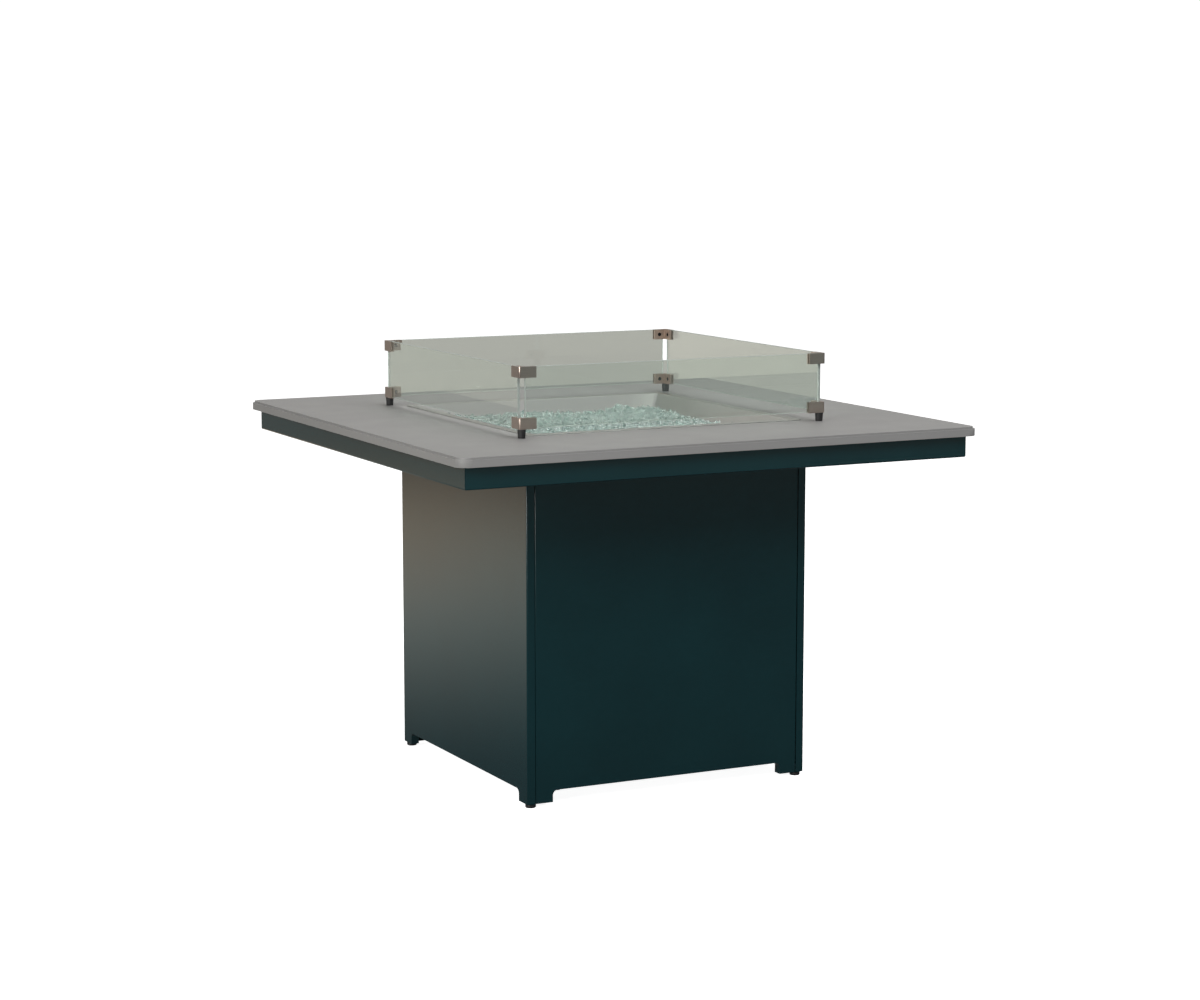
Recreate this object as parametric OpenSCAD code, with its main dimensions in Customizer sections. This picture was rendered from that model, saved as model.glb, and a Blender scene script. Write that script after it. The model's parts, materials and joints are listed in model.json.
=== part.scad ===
// Square gas fire table: a slab top on an apron, a sheet-metal pedestal with a hinged access
// door, a drop-in burner pan with glass media, and a lift-off glass wind guard.
// Frame: origin on the floor under the centre, +Z up, the door faces -Y.

/* [Table top] */
// Side of the square slab
top_side = 1118; // [1080:1:1160]
// Thickness of the slab
top_thick = 18; // [14:0.5:24]
// Plan radius of the slab's corners
top_corner_r = 25; // [12:1:40]
// Radius of the slab's eased upper edge
top_edge_r = 4; // [2:0.5:6]
// Height of the slab's top face above the floor
table_h = 730; // [720:1:740]
// Side of the square opening for the burner pan
cutout_side = 576; // [574:1:580]

/* [Apron] */
// Distance from the slab's edge in to the apron's face
apron_inset = 19; // [15:1:24]
// Height of the apron below the slab
apron_h = 43.3; // [42:0.1:45]
// Sheet thickness of the apron
apron_sheet = 2; // [1.5:0.5:3]

/* [Pedestal] */
// Outer side of the square pedestal
ped_side = 622; // [620:1:624]
// Sheet thickness of the pedestal panels
ped_sheet = 2; // [1.5:0.5:2]
// Height of the panels' lowest edges above the floor
ped_lift = 8.4; // [8.2:0.1:9]
// Height of the toe-kick opening above the panels' lowest edges
kick_h = 23.6; // [23:0.1:24]
// Radius of the toe-kick opening's upper corners
kick_r = 10; // [4:1:12]
// Width of a side panel's leg beside the toe-kick opening
side_leg = 40; // [38:1:44]
// Depth of the side panels' folded returns
side_return = 17; // [16:0.5:17]
// Width of the seam between a side panel and its neighbour
seam = 1; // [0.9:0.1:1.2]
// Outer radius of the folds in the panels and the apron
fold_r = 2.5; // [2:0.1:3]

/* [Door] */
// Width of the door's leg beside the toe-kick opening
door_leg = 37; // [36:0.5:39]
// Depth of the door's folded returns
door_return = 20; // [20:0.5:20.5]
// Height of the door's top edge above the floor
door_top = 664.5; // [664:0.1:665]
// Radius of the door's pivot pins
pivot_r = 3; // [2.5:0.5:3]
// Radial clearance of every turning or sliding fit
fit = 0.05; // [0.03:0.01:0.08]

/* [Burner] */
// Outer side of the pan's flange
pan_side = 608; // [604:1:610]
// Width of the pan's flange
pan_flange = 20; // [19:1:21]
// Sheet thickness of the pan
pan_sheet = 1.5; // [1:0.1:2]
// Depth of the pan below the slab's top face
pan_depth = 75; // [70:1:78]
// Inward run of the pan's walls for each millimetre of depth
pan_slope = 0.63; // [0.62:0.01:0.66]
// Depth of the glass media's surface below the slab's top face
media_drop = 28; // [24:1:34]
// Middle radius of the burner ring
ring_r = 130; // [110:1:140]

/* [Wind guard] */
// Outer side of the square guard
guard_side = 674; // [668:1:680]
// Height of the guard's upper edge above the slab
guard_h = 137; // [130:1:160]
// Height of a corner bracket
bracket_h = 21.5; // [20:0.5:24]
// Length of a corner bracket's arms
bracket_arm = 36; // [34:1:38]
// Thickness of a corner bracket's arms
bracket_t = 12; // [11.5:0.5:13]
// Thickness of the glass
glass_t = 5; // [4.8:0.1:5.1]
// Height of the rubber feet under the guard
foot_h = 17.3; // [15:0.1:20]

/* [Hidden] */
$fn = 64;
eps = 0.01;
slab_z = table_h - top_thick;
apron_half = top_side / 2 - apron_inset;
apron_z = slab_z - apron_h;
apron_top_flange = 30;
apron_low_flange = 20;
mitre_gap = 0.2;
gusset_leg = 90;
gusset_sheet = 3;
slab_screw_x = 420;
slab_screw_in = 16;
slab_screw_h = 11;
screw_r = 2.5;
screw_head_r = 5;
screw_head_h = 3;
ped_half = ped_side / 2;
rail_w = 40;
rail_half = 300;
rail_gap = 2;
rail_h = 38;
rail_z = slab_z - rail_gap - rail_h;
rail_sheet = 2;
long_rail = 2 * (apron_half - apron_sheet - mitre_gap);
short_rail = 2 * rail_half - rail_w;
pad_x = 180;
pad_r = 14;
kick_top = ped_lift + kick_h;
front_w = ped_side - 2 * (side_return + seam);

// Door pivots and catches
pivot = [-243, -ped_half + 6.5];
collar_r = 4.5;
collar_h = 1.2;
collar_gap = 0.4;
pivot_tab_r = 4;
pivot_tab_w = 7;
pivot_tab_sheet = 3;
pivot_tab_reach = 84;
pivot_tab_turn = 43.6;
catch_x = [230, 262];
catch_face = -ped_half + door_return + 0.6;
strike_back = -ped_half + door_return;
strike_sheet = 1.6;

// Levelling glides
glide_in = 12.5;
glide_r = 10.5;
glide_h = 8;
glide_stem_r = 3;
glide_stem_top = 30;
glide_at = ped_half - glide_in;
block_reach = 16.8;
block_len = 38;
block_h = 13;

// Shelf that carries the gas cylinder
shelf_z = 44;
shelf_sheet = 2;
shelf_front = -275;
shelf_back = 288;
shelf_half = ped_half - ped_sheet;
shelf_top = shelf_z + shelf_sheet;
shelf_flange_h = 26;
shelf_flange_front = -240;
shelf_notch = [-205, -247];
gas_line_hole_r = 20;
tank_ring_r = 110;
tank_ring_t = 3;
tank_ring_h = 6;

// Control panel behind the door
panel_y = -256;
panel_z = 572;
panel_half = 90;
panel_sheet = 2;
panel_flange = 45;
inlet_y = panel_y + 20;
inlet_r = 7.94;
knob_at = [-45, 620];
button_at = [45, 620];
stem_r = 4;
knob_r = 22;
button_r = 8;

// Burner
pan_floor = table_h - pan_depth;
pan_inner = pan_side / 2 - pan_flange;
pan_wall = pan_sheet * sqrt(1 + pan_slope * pan_slope);
ring_z = pan_floor + pan_sheet + 14;
ring_tube_r = 10;
arm_r = 8;
hub_r = 20;
hub_top = ring_z + 11;
neck_r = 13;
mixer_r = 16;
mixer_z = 596;
mixer_h = 56;
pipe_r = 4.75;
pipe_z = 620;
bend_r = 20;
shield_z = 552;
shield_sheet = 1.5;
pilot_at = [180, 0];
pilot_low = pan_floor + pan_sheet;
pilot_h = 40;
pilot_wall = 1.2;
media_gap = 0.4;
media_clear = 2;

// Wind guard
guard_half = guard_side / 2;
bracket_corner_r = 3;
wall_out = 2.4;
slot_w = 5.25;
slot_gap = 0.3;
glass_face = wall_out + (slot_w - glass_t) / 2;
glass_end = 13.5;
bracket_floor = 1.5;
low_z = table_h + foot_h;
high_z = table_h + guard_h - bracket_h;
set_screw_r = 4;
set_screw_h = 3.8;
set_screw_in = 0.4;
set_screw_at = 24.5;
socket_r = 2.3;
foot_top_r = 8.2;
foot_low_r = 7.2;

// Colours
top_grey = [0.58, 0.58, 0.57];
teal = [0.09, 0.16, 0.17];
steel = [0.62, 0.61, 0.59];
bracket_grey = [0.40, 0.38, 0.36];
black = [0.05, 0.05, 0.05];
galvanised = [0.55, 0.56, 0.57];
brass = [0.72, 0.58, 0.30];
aqua = [0.62, 0.78, 0.74];
igniter_red = [0.75, 0.20, 0.12];
clear_glass = [0.70, 0.80, 0.74, 0.35];

// ---------- shared shapes ----------

// Box from its lowest corner to its highest corner
module span(low, high) translate(low) cube(high - low);

// Repeats its children at the four quarter turns about Z
module quarters() for (turn = [0 : 90 : 270]) rotate([0, 0, turn]) children();

// Square plate outline with rounded corners, centred
module rounded_square(side, r) {
    square([side, side - 2 * r], center = true);
    square([side - 2 * r, side], center = true);
    for (x = [-1, 1], y = [-1, 1]) translate([x, y] * (side / 2 - r)) circle(r);
}

// Rectangle with round corners along its left side
module round_left(width, height, r) {
    translate([r, 0]) square([width - r, height]);
    translate([0, r]) square([width, height - 2 * r]);
    for (y = [r, height - r]) translate([r, y]) circle(r);
}

// Solid frustum of a square pyramid
module frustum(low_side, high_side, low_z, high_z)
    translate([0, 0, low_z])
        linear_extrude(high_z - low_z, scale = high_side / low_side)
            square(low_side, center = true);

// Half side of the pan's inner face at a height
function pan_half(z) = pan_inner - pan_slope * (table_h - z);

// ---------- table top ----------

module table_top() color(top_grey) difference() {
    translate([0, 0, slab_z]) {
        linear_extrude(top_thick - top_edge_r) rounded_square(top_side, top_corner_r);
        linear_extrude(top_thick) rounded_square(top_side - 2 * top_edge_r, top_corner_r - top_edge_r);
        quarters() {
            translate([0, -top_side / 2 + top_edge_r, top_thick - top_edge_r]) rotate([0, 90, 0])
                cylinder(r = top_edge_r, h = top_side - 2 * top_corner_r, center = true);
            translate([-1, -1, 0] * (top_side / 2 - top_corner_r))
                translate([0, 0, top_thick - top_edge_r])
                    rotate_extrude() translate([top_corner_r - top_edge_r, 0]) circle(top_edge_r);
        }
    }
    span([-1, -1, 0] * cutout_side / 2 + [0, 0, slab_z - 1],
         [1, 1, 0] * cutout_side / 2 + [0, 0, table_h + 1]);
    slab_screw_places() translate([0, 0, slab_z - 1]) cylinder(r = screw_r + fit, h = slab_screw_h);
}

// The eight places where screws come up through the apron's flange
module slab_screw_places() quarters() side_screw_places() children();

// The two screw places in the -Y side of the apron
module side_screw_places() for (x = [-1, 1] * slab_screw_x)
    translate([x, -apron_half + slab_screw_in, 0]) children();

module slab_screws() color(galvanised) slab_screw_places() {
    translate([0, 0, slab_z - apron_sheet]) cylinder(r = screw_r, h = slab_screw_h);
    translate([0, 0, slab_z - apron_sheet - screw_head_h]) cylinder(r = screw_head_r, h = screw_head_h);
}

// Folded rail: a face, an upper flange under the slab and a lower flange, mitred at 45 degrees
module apron_rail(turn) color(teal) rotate([0, 0, turn]) difference() {
    intersection() {
        rotate([90, 0, 90]) linear_extrude(2 * apron_half, center = true)
            translate([-apron_half, apron_z]) intersection() {
                union() {
                    square([apron_sheet, apron_h]);
                    translate([0, apron_h - apron_sheet]) square([apron_top_flange, apron_sheet]);
                    square([apron_low_flange, apron_sheet]);
                }
                round_left(apron_top_flange, apron_h, fold_r);
            }
        translate([0, 0, apron_z - 1]) linear_extrude(apron_h + 2)
            polygon([[0, -mitre_gap], [apron_half, -apron_half - mitre_gap], [apron_half, -apron_half - 1],
                     [-apron_half, -apron_half - 1], [-apron_half, -apron_half - mitre_gap]]);
    }
    side_screw_places() translate([0, 0, slab_z - apron_sheet - 1])
        cylinder(r = screw_r + fit, h = apron_sheet + 2);
}
module apron_front() apron_rail(0);
module apron_right() apron_rail(90);
module apron_back() apron_rail(180);
module apron_left() apron_rail(270);

// Triangular plates that tie the apron's corners together
module apron_gussets() color(teal) quarters() {
    inner = apron_half - apron_sheet - mitre_gap;
    translate([-inner, -inner, slab_z - apron_sheet - gusset_sheet]) linear_extrude(gusset_sheet)
        polygon([[0, 0], [gusset_leg, 0], [0, gusset_leg]]);
}

// Square tube along Y, then along X
module tube_y(x, length) difference() {
    span([x - rail_w / 2, -length / 2, rail_z], [x + rail_w / 2, length / 2, rail_z + rail_h]);
    span([x - rail_w / 2 + rail_sheet, -length / 2 - 1, rail_z + rail_sheet],
         [x + rail_w / 2 - rail_sheet, length / 2 + 1, rail_z + rail_h - rail_sheet]);
}
module rail_left() color(teal) tube_y(-rail_half, long_rail);
module rail_right() color(teal) tube_y(rail_half, long_rail);
module rail_front() color(teal) rotate([0, 0, 90]) tube_y(-rail_half, short_rail);
module rail_back() color(teal) rotate([0, 0, 90]) tube_y(rail_half, short_rail);

// Rubber pads between the rails and the slab
module slab_pads() color(black) quarters() for (x = [-1, 1] * pad_x)
    translate([x, -rail_half, slab_z - rail_gap]) cylinder(r = pad_r, h = rail_gap);

// ---------- pedestal ----------

// Opening at the foot of a panel, with round upper corners
module kick_outline(width, height, r) {
    translate([-width / 2, 0]) square([width, height - r]);
    translate([-width / 2 + r, 0]) square([width - 2 * r, height]);
    for (side = [-1, 1]) translate([side * (width / 2 - r), height - r]) circle(r);
}

// Panel outline seen from the front, drawn in by an inset on every edge
module panel_outline(width, top, leg, inset) difference() {
    translate([-width / 2 + inset, ped_lift + inset])
        square([width - 2 * inset, top - ped_lift - 2 * inset]);
    translate([0, ped_lift - 1])
        kick_outline(width - 2 * leg + 2 * inset, kick_h + 1 + inset, kick_r + inset);
}

// Folded panel in the -Y face, with returns along every edge
module folded_panel(width, top, leg, depth) difference() {
    intersection() {
        translate([0, depth - ped_half, 0]) rotate([90, 0, 0])
            linear_extrude(depth) panel_outline(width, top, leg, 0);
        translate([width / 2, -ped_half, 0]) linear_extrude(top)
            rotate(90) round_left(depth, width, fold_r);
    }
    translate([0, depth - ped_half + 1, 0]) rotate([90, 0, 0])
        linear_extrude(depth - ped_sheet + 1) panel_outline(width, top, leg, ped_sheet);
}

module side_panel(turn) color(teal) difference() {
    rotate([0, 0, turn]) folded_panel(ped_side, rail_z, side_leg, side_return);
    for (x = [-1, 1], y = [-1, 1]) translate([x * glide_at, y * glide_at, ped_lift - 1])
        cylinder(r = glide_stem_r + fit, h = ped_sheet + 2);
}
module side_panel_left() side_panel(270);
module side_panel_right() side_panel(90);
module back_panel() color(teal) rotate([0, 0, 180])
    folded_panel(front_w, rail_z - 1, door_leg, door_return);

// Threaded blocks in the corners that take the glides' stems
module foot_blocks() color(galvanised) for (x = [0, 1], y = [0, 1])
    mirror([x, 0, 0]) mirror([0, y, 0]) difference() {
        span([ped_half - block_reach, ped_half - block_len, ped_lift + ped_sheet],
             [ped_half - ped_sheet, ped_half - ped_sheet, ped_lift + ped_sheet + block_h]);
        translate([glide_at, glide_at, ped_lift]) cylinder(r = glide_stem_r + fit, h = block_h + 4);
    }

module glide(x, y) color(black) translate([x * glide_at, y * glide_at, 0]) {
    cylinder(r1 = glide_r - 1.5, r2 = glide_r, h = 1.5);
    translate([0, 0, 1.5]) cylinder(r = glide_r, h = 4.5);
    translate([0, 0, 6]) cylinder(r = 7, h = glide_h - 6);
    cylinder(r = glide_stem_r, h = glide_stem_top);
}
module glide_front_left() glide(-1, -1);
module glide_front_right() glide(1, -1);
module glide_back_right() glide(1, 1);
module glide_back_left() glide(-1, 1);

// Shelf with upturned side flanges, notched where the door's hinge side swings in, and with a
// hole under the gas inlet for a fixed gas line
module bottom_shelf() color(galvanised) difference() {
    union() {
        span([-shelf_half, shelf_front, shelf_z], [shelf_half, shelf_back, shelf_top]);
        for (x = [0, 1]) mirror([x, 0, 0])
            span([shelf_half - shelf_sheet, shelf_flange_front, shelf_z],
                 [shelf_half, shelf_back, shelf_z + shelf_flange_h]);
    }
    span([-shelf_half - 1, shelf_front - 1, shelf_z - 1], [shelf_notch.x, shelf_notch.y, shelf_top + 1]);
    translate([knob_at.x, inlet_y, shelf_z - 1]) cylinder(r = gas_line_hole_r, h = shelf_sheet + 2);
}

// Ring that locates the foot of the gas cylinder
module tank_ring() color(galvanised) translate([0, 0, shelf_top]) difference() {
    cylinder(r = tank_ring_r, h = tank_ring_h);
    translate([0, 0, -1]) cylinder(r = tank_ring_r - tank_ring_t, h = tank_ring_h + 2);
}

// Bracket from the shelf into the door, with the lower pivot pin and the collar that carries the door
module door_pivot_lower() color(galvanised) translate([pivot.x, pivot.y, 0]) {
    collar_z = kick_top - collar_gap - collar_h;
    translate([0, 0, shelf_top]) {
        cylinder(r = pivot_tab_r, h = pivot_tab_sheet);
        rotate([0, 0, pivot_tab_turn]) translate([0, -pivot_tab_w / 2, 0])
            cube([pivot_tab_reach, pivot_tab_w, pivot_tab_sheet]);
    }
    translate([0, 0, collar_z]) {
        cylinder(r = pivot_r, h = shelf_top + 1 - collar_z);
        cylinder(r = collar_r, h = collar_h);
    }
}

// Bracket under the front rail with the upper pivot pin
module door_pivot_upper() color(galvanised) {
    span([pivot.x - 20, pivot.y - 4, rail_z - 3], [pivot.x + 20, pivot.y + 18, rail_z]);
    translate([pivot.x, pivot.y, door_top - 8]) cylinder(r = pivot_r, h = rail_z - door_top + 7);
}

// Catches for the door's free edge, under the front rail and on the shelf
module magnetic_catches() color(black) {
    span([catch_x[0], catch_face, door_top - 20], [catch_x[1], catch_face + 17, rail_z]);
    span([catch_x[0], catch_face, shelf_top], [catch_x[1], catch_face + 22, shelf_top + 16]);
}

// ---------- door ----------

module front_door() color(teal) difference() {
    folded_panel(front_w, door_top, door_leg, door_return);
    translate([pivot.x, pivot.y, kick_top - 1]) cylinder(r = pivot_r + fit, h = ped_sheet + 2);
    translate([pivot.x, pivot.y, door_top - ped_sheet - 1]) cylinder(r = pivot_r + fit, h = ped_sheet + 2);
}

// Steel plates on the door that meet the magnetic catches
module door_strikes() color(galvanised) {
    span([catch_x[0] + 2, strike_back - strike_sheet, door_top - ped_sheet - 16],
         [catch_x[1] - 2, strike_back, door_top - ped_sheet]);
    span([catch_x[0] + 2, strike_back - strike_sheet, kick_top + ped_sheet],
         [catch_x[1] - 2, strike_back, kick_top + ped_sheet + 28]);
}

// ---------- gas controls ----------

module heat_shield() color(galvanised)
    span([-306, -200, shield_z], [306, 285, shield_z + shield_sheet]);

module shield_hangers() color(galvanised) for (x = [-1, 1], y = [-160, 200])
    translate([x * rail_half, y, shield_z + shield_sheet])
        cylinder(r = 3, h = rail_z - ped_sheet - shield_z - shield_sheet);

// Folded plate under the front rail that carries the knob and the igniter
module control_plate() color(galvanised) difference() {
    union() {
        span([-panel_half, panel_y - panel_sheet, panel_z], [panel_half, panel_y, rail_z]);
        span([-panel_half, panel_y - panel_flange, rail_z - panel_sheet], [panel_half, panel_y, rail_z]);
    }
    translate([knob_at.x, panel_y + 1, knob_at.y]) rotate([90, 0, 0]) cylinder(r = 6, h = 4);
    translate([button_at.x, panel_y + 1, button_at.y]) rotate([90, 0, 0]) cylinder(r = 11, h = 4);
}

module gas_valve() color(brass) difference() {
    union() {
        span([knob_at.x - 15, panel_y + 0.2, knob_at.y - 20],
             [knob_at.x + 15, panel_y + 40, knob_at.y + 20]);
        translate([knob_at.x, panel_y + 40, pipe_z]) rotate([-90, 0, 0]) cylinder(r = 7, h = 10);
    }
    translate([knob_at.x, panel_y + 24, knob_at.y]) rotate([90, 0, 0]) cylinder(r = stem_r + fit, h = 30);
}

// Male inlet for the gas hose, under the valve
module gas_inlet() color(brass) translate([knob_at.x, inlet_y, knob_at.y - 20]) rotate([180, 0, 0]) {
    cylinder(r = 10, h = 8, $fn = 6);
    cylinder(r = inlet_r, h = 24);
}

// Stem from inside the valve to the knob
module valve_stem() color(steel) translate([knob_at.x, panel_y + 20, knob_at.y])
    rotate([90, 0, 0]) cylinder(r = stem_r, h = 36);

module control_knob() color(black) translate([knob_at.x, panel_y - 4, knob_at.y]) rotate([90, 0, 0]) {
    difference() {
        union() {
            cylinder(r = knob_r, h = 5);
            translate([0, 0, 5]) cylinder(r1 = knob_r - 2, r2 = knob_r - 3.5, h = 13);
        }
        translate([0, 0, -1]) cylinder(r = stem_r, h = 13);
        for (turn = [0 : 30 : 330]) rotate([0, 0, turn]) translate([knob_r, 0, 6.5])
            cylinder(r = 3.4, h = 13);
    }
    translate([-1.5, 4, 18]) cube([3, 12, 1]);
}

module igniter_body() color(black) translate([button_at.x, panel_y, button_at.y]) rotate([90, 0, 0])
    difference() {
        union() {
            translate([0, 0, 2]) cylinder(r = 14, h = 3);
            translate([0, 0, -40]) cylinder(r = 10.8, h = 43);
        }
        translate([0, 0, -8]) cylinder(r = button_r + fit, h = 20);
    }

module igniter_button() color(igniter_red)
    translate([button_at.x, panel_y, button_at.y]) rotate([90, 0, 0]) cylinder(r = button_r, h = 11);

// Rigid tube from the valve to the air mixer, with one quarter bend
module gas_pipe() color(brass) {
    start = panel_y + 50;
    translate([knob_at.x, start, pipe_z]) rotate([-90, 0, 0]) cylinder(r = pipe_r, h = -bend_r - start);
    translate([knob_at.x + bend_r, -bend_r, pipe_z]) rotate([0, 0, 90])
        rotate_extrude(angle = 90) translate([bend_r, 0]) circle(pipe_r);
    translate([knob_at.x + bend_r, 0, pipe_z]) rotate([0, 90, 0])
        cylinder(r = pipe_r, h = -knob_at.x - bend_r - mixer_r - 0.1);
}

// ---------- burner ----------

// Venturi body with air holes and a neck that comes up through the pan
module air_mixer() color(steel) difference() {
    union() {
        translate([0, 0, mixer_z]) cylinder(r = mixer_r, h = mixer_h);
        translate([0, 0, mixer_z + mixer_h]) cylinder(r = 19, h = pan_floor - mixer_z - mixer_h, $fn = 6);
        translate([0, 0, pan_floor - 1]) cylinder(r = neck_r, h = 10);
    }
    translate([0, 0, mixer_z + 8]) cylinder(r = neck_r - 3, h = 80);
    for (turn = [45, 135]) rotate([0, 0, turn]) translate([0, 0, mixer_z + 36]) rotate([90, 0, 0])
        cylinder(r = 5, h = 50, center = true);
}

module burner_arms(r) for (turn = [0, 90]) rotate([0, 0, turn]) translate([0, 0, ring_z])
    rotate([0, 90, 0]) cylinder(r = r, h = 2 * ring_r, center = true);

module burner_ring() color(steel) difference() {
    union() {
        translate([0, 0, ring_z]) rotate_extrude() translate([ring_r, 0]) circle(ring_tube_r);
        burner_arms(arm_r);
        translate([0, 0, pan_floor + pan_sheet]) cylinder(r = hub_r, h = hub_top - pan_floor - pan_sheet);
    }
    translate([0, 0, ring_z]) rotate_extrude() translate([ring_r, 0]) circle(ring_tube_r - 1.5);
    burner_arms(arm_r - 1.5);
    translate([0, 0, pan_floor]) cylinder(r = neck_r + fit, h = hub_top - pan_floor - 3);
    for (turn = [7.5 : 15 : 352.5]) rotate([0, 0, turn]) translate([ring_r, 0, ring_z])
        cylinder(r = 1.5, h = ring_tube_r + 5);
}

// Drop-in pan: a flange on the slab, sloping walls and a floor
module burner_pan() color(steel) difference() {
    union() {
        span([-pan_side / 2, -pan_side / 2, table_h], [pan_side / 2, pan_side / 2, table_h + pan_sheet]);
        frustum(2 * (pan_half(pan_floor) + pan_wall), 2 * (pan_half(table_h + eps) + pan_wall),
                pan_floor, table_h + eps);
    }
    frustum(2 * pan_half(pan_floor + pan_sheet), 2 * pan_half(table_h + 4),
            pan_floor + pan_sheet, table_h + 4);
    translate([0, 0, pan_floor - 1]) cylinder(r = neck_r + fit, h = 4);
}

// Small vented box round the igniter electrode, beside the burner ring
module pilot_hood() color(steel) translate([pilot_at.x, pilot_at.y, pilot_low]) difference() {
    half = [16, 14, 0];
    span(-half, half + [0, 0, pilot_h]);
    span([pilot_wall, pilot_wall, -1] - half, half + [-pilot_wall, -pilot_wall, pilot_h - pilot_wall]);
    for (z = [12 : 7 : 33], y = [-7, 0, 7])
        translate([0, y, z]) rotate([0, 90, 0]) cylinder(r = 1.5, h = 40, center = true);
}

// Bed of glass pieces, kept clear of the burner, the hub and the pilot hood
module glass_media() color(aqua) difference() {
    frustum(2 * (pan_half(pan_floor + pan_sheet + media_gap) - media_gap),
            2 * (pan_half(table_h - media_drop) - media_gap),
            pan_floor + pan_sheet + media_gap, table_h - media_drop);
    translate([0, 0, pan_floor]) difference() {
        tube_clear = ring_tube_r + media_clear;
        cylinder(r = ring_r + tube_clear, h = ring_z + tube_clear - pan_floor);
        translate([0, 0, -1]) cylinder(r = ring_r - tube_clear, h = pan_depth);
    }
    for (turn = [0, 90]) rotate([0, 0, turn]) {
        arm_clear = arm_r + media_clear;
        span([-ring_r, -arm_clear, pan_floor], [ring_r, arm_clear, ring_z + arm_clear]);
    }
    translate([0, 0, pan_floor]) cylinder(r = hub_r + media_clear, h = hub_top + media_clear - pan_floor);
    span([pilot_at.x - 17, pilot_at.y - 15, pan_floor],
         [pilot_at.x + 17, pilot_at.y + 15, pilot_low + pilot_h + 1]);
}

// ---------- wind guard ----------

module glass_panel(turn) color(clear_glass) rotate([0, 0, turn])
    span([glass_end - guard_half, glass_face - guard_half, low_z + bracket_floor + 0.1],
         [guard_half - glass_end, glass_face - guard_half + glass_t, table_h + guard_h]);
module glass_front() glass_panel(0);
module glass_right() glass_panel(90);
module glass_back() glass_panel(180);
module glass_left() glass_panel(270);

// L-shaped outline with its round outer corner near the origin
module bracket_outline() {
    r = bracket_corner_r;
    translate([r, 0]) square([bracket_arm - r, bracket_t]);
    translate([0, r]) square([bracket_t, bracket_arm - r]);
    translate([r, r]) circle(r);
}
module bracket_slots(floor_t) {
    slot_start = glass_end - slot_gap;
    translate([slot_start, wall_out, floor_t]) cube([bracket_arm, slot_w, bracket_h + 1]);
    translate([wall_out, slot_start, floor_t]) cube([slot_w, bracket_arm, bracket_h + 1]);
}
module set_screw_places() {
    translate([set_screw_at, bracket_t, bracket_h / 2]) rotate([90, 0, 0]) children();
    translate([bracket_t, set_screw_at, bracket_h / 2]) rotate([0, -90, 0]) children();
}
module bracket(turn, z, floor_t) color(bracket_grey)
    rotate([0, 0, turn]) translate([-guard_half, -guard_half, z]) difference() {
        linear_extrude(bracket_h) bracket_outline();
        bracket_slots(floor_t);
        set_screw_places() translate([0, 0, -1]) cylinder(r = set_screw_r + fit, h = 6);
    }
module lower_bracket(turn) bracket(turn, low_z, bracket_floor);
module upper_bracket(turn) bracket(turn, high_z, -1);
module lower_bracket_front_left() lower_bracket(0);
module lower_bracket_front_right() lower_bracket(90);
module lower_bracket_back_right() lower_bracket(180);
module lower_bracket_back_left() lower_bracket(270);
module upper_bracket_front_left() upper_bracket(0);
module upper_bracket_front_right() upper_bracket(90);
module upper_bracket_back_right() upper_bracket(180);
module upper_bracket_back_left() upper_bracket(270);

// Socket-head set screws that clamp the glass in the brackets
module bracket_screws() color(black) quarters() for (z = [low_z, high_z])
    translate([-guard_half, -guard_half, z]) set_screw_places()
        translate([0, 0, set_screw_in]) difference() {
            cylinder(r = set_screw_r, h = set_screw_h);
            translate([0, 0, -1]) cylinder(r = socket_r, h = 3, $fn = 6);
        }

module guard_feet() color(black) quarters()
    translate([foot_top_r - guard_half, foot_top_r - guard_half, table_h])
        cylinder(r1 = foot_low_r, r2 = foot_top_r, h = foot_h);

table_top();
apron_front();
apron_right();
apron_back();
apron_left();
apron_gussets();
rail_left();
rail_right();
rail_front();
rail_back();
slab_pads();
slab_screws();
side_panel_left();
side_panel_right();
back_panel();
foot_blocks();
bottom_shelf();
tank_ring();
door_pivot_lower();
door_pivot_upper();
magnetic_catches();
front_door();
door_strikes();
glide_front_left();
glide_front_right();
glide_back_right();
glide_back_left();
heat_shield();
shield_hangers();
control_plate();
gas_valve();
gas_inlet();
valve_stem();
control_knob();
igniter_body();
igniter_button();
gas_pipe();
air_mixer();
burner_ring();
burner_pan();
pilot_hood();
glass_media();
glass_front();
glass_right();
glass_back();
glass_left();
lower_bracket_front_left();
lower_bracket_front_right();
lower_bracket_back_right();
lower_bracket_back_left();
upper_bracket_front_left();
upper_bracket_front_right();
upper_bracket_back_right();
upper_bracket_back_left();
bracket_screws();
guard_feet();
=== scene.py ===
import math

import bmesh
import bpy
import numpy as np
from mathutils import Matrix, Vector
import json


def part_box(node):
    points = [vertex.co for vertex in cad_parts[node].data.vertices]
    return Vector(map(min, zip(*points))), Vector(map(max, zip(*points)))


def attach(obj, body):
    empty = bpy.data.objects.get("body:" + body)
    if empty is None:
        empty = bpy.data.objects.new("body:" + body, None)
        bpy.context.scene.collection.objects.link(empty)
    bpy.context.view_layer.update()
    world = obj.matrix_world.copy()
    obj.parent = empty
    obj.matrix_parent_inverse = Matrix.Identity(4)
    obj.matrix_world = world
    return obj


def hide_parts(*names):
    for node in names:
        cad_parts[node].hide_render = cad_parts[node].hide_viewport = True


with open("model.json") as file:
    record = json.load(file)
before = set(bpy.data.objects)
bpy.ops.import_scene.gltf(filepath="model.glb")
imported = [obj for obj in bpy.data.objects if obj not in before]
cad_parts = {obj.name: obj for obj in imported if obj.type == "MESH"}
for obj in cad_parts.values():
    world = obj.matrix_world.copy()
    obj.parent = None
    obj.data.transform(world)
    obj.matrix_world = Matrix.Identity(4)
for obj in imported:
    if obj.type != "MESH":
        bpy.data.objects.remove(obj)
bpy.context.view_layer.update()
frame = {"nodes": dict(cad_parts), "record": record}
scene = bpy.context.scene

MM = 0.001

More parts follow.
